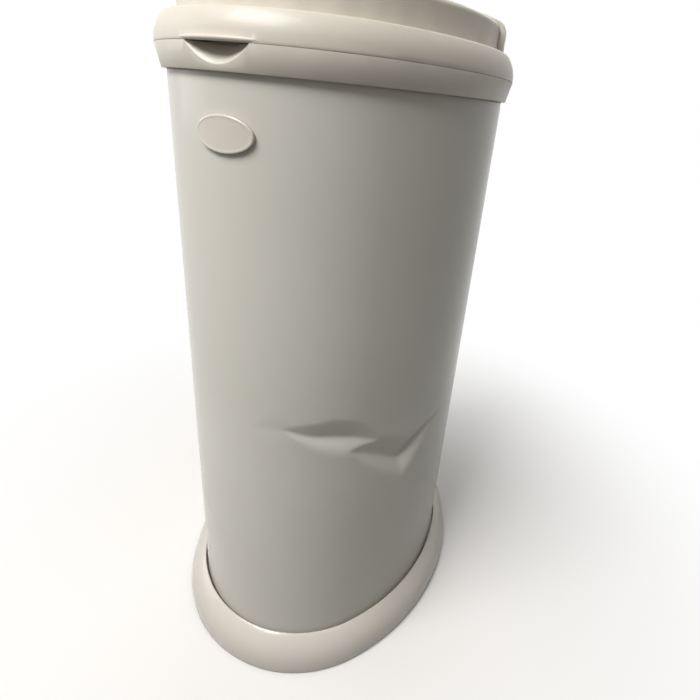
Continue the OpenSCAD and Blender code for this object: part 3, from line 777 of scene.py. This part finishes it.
@dataclass
class SteelBody:
    """The oval steel tube, with the dent in its lower right front.

    The grid of the mesh is finest round the dent: columns holds the facing
    angles in degrees at which its spacing changes, and dent_low and dent_high
    the heights. join is the power that blends the creases where they overlap.
    """

    oval: Oval = field(default_factory=Oval)
    bottom: float = 22.0
    top: float = 508.0
    sheet: float = 0.8
    hem: float = 6.0
    bend: float = 1.4
    bend_points: int = 7
    columns: tuple[tuple[float, float], ...] = ((-90, 0.45), (22, 1.2), (270, 1.2))
    dent_low: float = 150.0
    dent_high: float = 300.0
    fine_row: float = 1.5
    plain_row: float = 7.0
    join: int = 3
    bowl: Bowl = field(default_factory=Bowl)
    creases: tuple[Crease, ...] = (
        Crease(
            (
                (34, 265, 0.0),
                (46, 262, 1.3),
                (60, 257, 3.4),
                (78, 254, 5.4),
                (96, 250, 4.9),
                (110, 245, 2.3),
                (118, 242, 0.0),
            ),
            above=20.0,
            below=18.0,
        ),
        Crease(
            (
                (90, 240, 0.0),
                (102, 234, 3.6),
                (120, 223, 6.1),
                (146, 206, 7.8),
                (158, 214, 5.8),
                (174, 226, 3.0),
                (196, 238, 0.0),
            ),
            above=28.0,
            below=23.0,
        ),
        Crease(
            ((14, 262, 0.0), (26, 264, 0.4), (40, 264, 0.4), (54, 262, 0.0)),
            above=12.0,
            below=22.0,
        ),
    )

    def hollow(self, angles: np.ndarray, heights: np.ndarray) -> np.ndarray:
        """How far the sheet is pushed in at each place.

        Args:
            angles: Facing angles in degrees.
            heights: Heights in mm.

        Returns:
            Depths in mm, 0 on the left half, which the dent doesn't reach.
        """
        wrapped = (angles + 180) % 360 - 180
        along = self.oval.along(np.clip(wrapped, -90, 90))
        along = np.where(np.abs(wrapped) > 90, math.inf, along)
        depths = np.array([crease.depth(along, heights) for crease in self.creases])
        sharp = np.sum(depths**self.join, axis=0) ** (1 / self.join)
        return sharp + self.bowl.depth_at(along, heights)

    def section(self) -> tuple[np.ndarray, np.ndarray]:
        """Section of the sheet: down the outside, round the flange and up inside.

        Returns:
            Distances out from the oval and heights, in mm.
        """
        corner = self.bottom + self.bend
        rows = soft_steps(
            [
                (corner, self.plain_row),
                (self.dent_low, self.fine_row),
                (self.dent_high, self.plain_row),
                (self.top, self.plain_row),
            ]
        )
        turn = np.radians(np.linspace(0, 90, self.bend_points)[1:])
        inner_bend = self.bend - self.sheet
        outs = [
            0 * rows,
            self.bend * (np.cos(turn) - 1),
            [-self.hem, -self.hem],
            inner_bend * np.cos(turn[::-1]) - self.bend,
            0 * rows - self.sheet,
        ]
        heights = [
            rows[::-1],
            corner - self.bend * np.sin(turn),
            [self.bottom, self.bottom + self.sheet],
            corner - inner_bend * np.sin(turn[::-1]),
            rows,
        ]
        return np.concatenate(outs), np.concatenate(heights)

    def build(self) -> None:
        """Makes the tube with its turned-in flange and the dent."""
        outs, heights = self.section()
        angles, outs = np.meshgrid(soft_steps(self.columns)[:-1], outs, indexing="ij")
        heights = np.broadcast_to(heights, outs.shape)
        pushed = outs - self.hollow(angles, heights)
        piece = grid_mesh("steel_body", self.oval.place(angles, pushed, heights), closed=True)
        piece.data.materials.append(material_for(COATED_STEEL))
        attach(piece, "bin")
        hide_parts("body_shell")
        LOG.info("built steel_body with %d points", len(piece.data.vertices))


@dataclass
class Badge:
    """The bare oval badge: a raised rim round a plain face, over a neck.

    The face lies sunk below the rim, and slope is how far inside the rim it
    begins. Each point of the neck is an inset and a distance out in mm.
    """

    oval: Oval = field(default_factory=Oval)
    half_width: float = 21.5
    half_height: float = 11.0
    thick: float = 2.6
    centre_z: float = 470.5
    rim: float = 1.5
    rim_flat: float = 0.2
    edge: float = 0.9
    edge_points: int = 6
    sunk: float = 0.14
    slope: float = 0.9
    slope_foot: float = 0.4
    slope_ease: float = 0.03
    neck: tuple[tuple[float, float], ...] = ((0.0, 0.9), (0.15, 0.75), (1.1, 0.7), (1.2, 0.0))
    turn_step: float = 2.5
    face_rings: tuple[float, ...] = (0.04, 0.25, 0.5, 0.75, 0.92)

    def section(self) -> np.ndarray:
        """Section of the edge, from the face inside the rim to the back.

        Returns:
            Rows of inset from the outline and distance out, in mm.
        """
        face = self.thick - self.sunk
        slope = [
            (self.rim + self.slope, face),
            (self.rim + self.slope_foot, face + self.slope_ease),
            (self.rim, self.thick - self.slope_ease),
            (self.rim - self.rim_flat, self.thick),
        ]
        rounded = [
            (self.edge - self.edge * math.sin(t), self.thick - self.edge + self.edge * math.cos(t))
            for t in np.radians(np.linspace(0, 90, self.edge_points))
        ]
        return np.array([*slope, *rounded, *self.neck])

    def points(self) -> np.ndarray:
        """Places the rings of the face and the section round the badge.

        Returns:
            Points in metres, bent to the front of the body.
        """
        inset, out = self.section().T
        rings = np.array(self.face_rings)
        across, up = (
            np.concatenate([rings * (half - inset[0]), half - inset])
            for half in (self.half_width, self.half_height)
        )
        turn = np.radians(np.arange(0, 360, self.turn_step))
        bend_radius = self.oval.end_radius + self.thick
        angles = -90 + np.degrees(np.outer(np.cos(turn), across) / bend_radius)
        heights = np.outer(np.sin(turn), up) + self.centre_z
        outs = np.concatenate([0 * rings + out[0], out])
        return self.oval.place(angles, np.broadcast_to(outs, angles.shape), heights)

    def build(self) -> None:
        """Makes the badge and closes its face and its back."""
        piece = grid_mesh("oval_badge", self.points(), closed=False)
        shape = bmesh.new()
        shape.from_mesh(piece.data)
        bmesh.ops.holes_fill(shape, edges=shape.edges, sides=0)
        bmesh.ops.recalc_face_normals(shape, faces=shape.faces)
        for face in shape.faces:
            face.smooth = True
        shape.to_mesh(piece.data)
        shape.free()
        piece.data.materials.append(material_for(BADGE_ABS))
        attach(piece, "bin")
        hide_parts("badge")
        LOG.info("built oval_badge")


@dataclass
class Foot:
    """Base ring with its tray, the feet and the plate inside the body."""

    edge: EdgeSize = EdgeSize.SMALL

    def build(self) -> None:
        """Dresses the pieces at the foot of the bin, and the badge's clips."""
        dress("base", BASE_ABS, self.edge)
        dress("feet", FOOT_RUBBER, self.edge)
        dress("floor_plate", INNER_PP, self.edge)
        dress("tray_spacers", INNER_PP)
        dress("tray_screws", PLATED_STEEL)
        dress("badge_clips", PLATED_STEEL)


@dataclass
class Mouth:
    """Collar on top of the body, with the bag ring in it."""

    edge: EdgeSize = EdgeSize.FINE

    def build(self) -> None:
        """Dresses the pieces round the mouth."""
        dress("collar", COLLAR_ABS, self.edge)
        dress("hinge_pin", PLATED_STEEL)
        dress("bag_ring", INNER_PP, self.edge)
        dress("ring_hinge_pin", PLATED_STEEL)


@dataclass
class Lid:
    """Lid with its hood, seals and keeper."""

    edge: EdgeSize = EdgeSize.SMALL
    keeper_edge: EdgeSize = EdgeSize.FINE

    def build(self) -> None:
        """Dresses the pieces of the lid."""
        dress("lid", LID_ABS, self.edge)
        dress("lid_seal", SEAL_RUBBER)
        dress("hatch_seal", SEAL_RUBBER)
        dress("hood", LID_ABS, self.edge)
        dress("hood_screws", PLATED_STEEL)
        dress("keeper", LOCK_ABS, self.keeper_edge)


@dataclass
class Hatch:
    """Sliding hatch with its shoes, grip and child lock."""

    edge: EdgeSize = EdgeSize.SMALL
    shoe_edge: EdgeSize = EdgeSize.FINE
    grip_edge: EdgeSize = EdgeSize.MEDIUM

    def build(self) -> None:
        """Dresses the pieces of the hatch."""
        dress("hatch", LID_ABS, self.edge)
        dress("hatch_shoes", INNER_PP, self.shoe_edge)
        dress("grip", LID_ABS, self.grip_edge)
        dress("grip_screws", PLATED_STEEL)
        dress("lock_slider", LOCK_ABS, self.edge)


# ---------------------------------------------------------------- studio


@dataclass
class Viewpoint:
    """The camera, placed where the photograph was taken from, in mm."""

    place: tuple[float, float, float] = (203.995, -376.157, 498.498)
    right: tuple[float, float, float] = (0.90887871, 0.40704812, 0.09083677)
    up: tuple[float, float, float] = (-0.23413061, 0.31773606, 0.91881807)
    focal_px: float = 463.4
    middle_px: tuple[float, float] = (389.82, 292.34)
    frame_px: float = 700.0
    sensor: float = 36.0
    near: float = 10.0
    far: float = 50000.0

    def build(self) -> None:
        """Makes the camera."""
        data = bpy.data.cameras.new("viewpoint")
        data.sensor_width = self.sensor
        data.lens = self.sensor * self.focal_px / self.frame_px
        data.shift_x = 0.5 - self.middle_px[0] / self.frame_px
        data.shift_y = self.middle_px[1] / self.frame_px - 0.5
        data.clip_start, data.clip_end = self.near * MM, self.far * MM
        camera = bpy.data.objects.new("viewpoint", data)
        bpy.context.scene.collection.objects.link(camera)
        right, up = Vector(self.right), Vector(self.up)
        turn = Matrix((right, up, right.cross(up))).transposed().to_4x4()
        camera.matrix_world = Matrix.Translation(Vector(self.place) * MM) @ turn
        bpy.context.scene.camera = camera


@dataclass(frozen=True)
class PaleFloor:
    """Matt white studio floor that fades into a white background.

    Near the object it is painted board, which takes the soft shadow. Between
    near and far, in metres, it turns to plain white light, so that no horizon
    shows. What it throws back on the object is a darker grey than the camera
    sees. This is painted shade: it cuts the light the floor bounces up and
    deepens the shade on the object.
    """

    name: str = "painted_floor"
    colour: str = "#ebeae9"
    painted_shade_bounce: str = "#6f6d6a"
    near: float = 0.12
    far: float = 0.62
    roughness: float = 0.4

    def shade(self, tree: bpy.types.NodeTree) -> bpy.types.Node:
        """Builds the floor.

        Args:
            tree: The material's node tree.

        Returns:
            The floor's shader.
        """
        place = add_node(tree, "ShaderNodeTexCoord").outputs["Object"]
        seen = seen_rays(tree)
        length = add_node(tree, "ShaderNodeVectorMath", links={0: place}, operation="LENGTH")
        fade = add_node(
            tree,
            "ShaderNodeMapRange",
            {"From Min": self.near, "From Max": self.far},
            {"Value": length.outputs["Value"]},
            interpolation_type="SMOOTHSTEP",
        )
        share = add_node(
            tree,
            "ShaderNodeMath",
            links={0: fade.outputs["Result"], 1: seen},
            operation="MULTIPLY",
        )
        # painted shade: bounce rays see a darker board than the camera does, so less light bounces
        # up into the object's shade
        board = add_node(
            tree,
            "ShaderNodeBsdfDiffuse",
            {"Roughness": self.roughness},
            {"Color": mix_colours(tree, seen, self.painted_shade_bounce, self.colour)},
        )
        white = add_node(tree, "ShaderNodeEmission", {"Color": linear("#ffffff"), "Strength": 1.0})
        return add_node(
            tree,
            "ShaderNodeMixShader",
            links={0: share.outputs[0], 1: board.outputs[0], 2: white.outputs[0]},
        )


@dataclass(frozen=True)
class SoftBox:
    """One soft light, wide and tall in metres, aimed at the middle of the bin."""

    name: str
    place: tuple[float, float, float]
    wide: float
    tall: float
    watts: float
    colour: str = "#fffdfb"


@dataclass
class Studio:
    """Floor, background and soft boxes, in metres."""

    ambient: float = 0.28
    ambient_colour: str = "#f6f4f0"
    floor_half: float = 9.0
    aim: tuple[float, float, float] = (0.0, 0.0, 0.3)
    boxes: tuple[SoftBox, ...] = (
        SoftBox("key_box", (-0.48, -1.2, 1.95), 1.2, 0.8, 45.0),
        SoftBox("top_box", (0.85, -0.4, 2.1), 1.3, 1.3, 3.0),
        SoftBox("side_box", (-1.9, -0.7, 0.9), 1.2, 1.2, 7.0),
        SoftBox("back_box", (-0.7, 2.0, 1.2), 1.5, 1.5, 16.0),
    )

    def build(self) -> None:
        """Sets up the floor, the background and the lights."""
        self._floor()
        self._background()
        for box in self.boxes:
            self._light(box)
        bpy.context.scene.view_settings.view_transform = "Standard"

    def _floor(self) -> None:
        """Makes the floor."""
        mesh = bpy.data.meshes.new("floor")
        half = self.floor_half
        corners = [(-half, -half, 0.0), (half, -half, 0.0), (half, half, 0.0), (-half, half, 0.0)]
        mesh.from_pydata(corners, [], [(0, 1, 2, 3)])
        floor = bpy.data.objects.new("floor", mesh)
        bpy.context.scene.collection.objects.link(floor)
        mesh.materials.append(material_for(PaleFloor()))

    def _background(self) -> None:
        """Makes the white background and the even light from all round."""
        world = bpy.data.worlds.new("white_room")
        bpy.context.scene.world = world
        world.use_nodes = True
        tree = world.node_tree
        tree.nodes.clear()
        around, white = (
            add_node(tree, "ShaderNodeBackground", {"Color": linear(colour), "Strength": strength})
            for colour, strength in ((self.ambient_colour, self.ambient), ("#ffffff", 1.0))
        )
        mixed = add_node(
            tree,
            "ShaderNodeMixShader",
            links={0: seen_rays(tree), 1: around.outputs[0], 2: white.outputs[0]},
        )
        add_node(tree, "ShaderNodeOutputWorld", links={"Surface": mixed.outputs[0]})

    def _light(self, box: SoftBox) -> None:
        """Makes one soft box.

        Args:
            box: Its place, size and power.
        """
        data = bpy.data.lights.new(box.name, "AREA")
        data.shape = "RECTANGLE"
        data.size, data.size_y = box.wide, box.tall
        data.energy = box.watts
        data.color = linear(box.colour)[:3]
        light = bpy.data.objects.new(box.name, data)
        bpy.context.scene.collection.objects.link(light)
        light.location = box.place
        aim = Vector(self.aim) - light.location
        light.rotation_euler = aim.to_track_quat("-Z", "Y").to_euler()


def main() -> None:
    """Builds the camera, the studio and each sub-assembly in order."""
    logging.basicConfig(level=logging.INFO, format="%(name)s: %(message)s")
    steps: list[Callable[[], None]] = [
        Viewpoint().build,
        Studio().build,
        Foot().build,
        SteelBody().build,
        Badge().build,
        Mouth().build,
        Lid().build,
        Hatch().build,
    ]
    for step in steps:
        step()


if __name__ == "__main__":
    main()
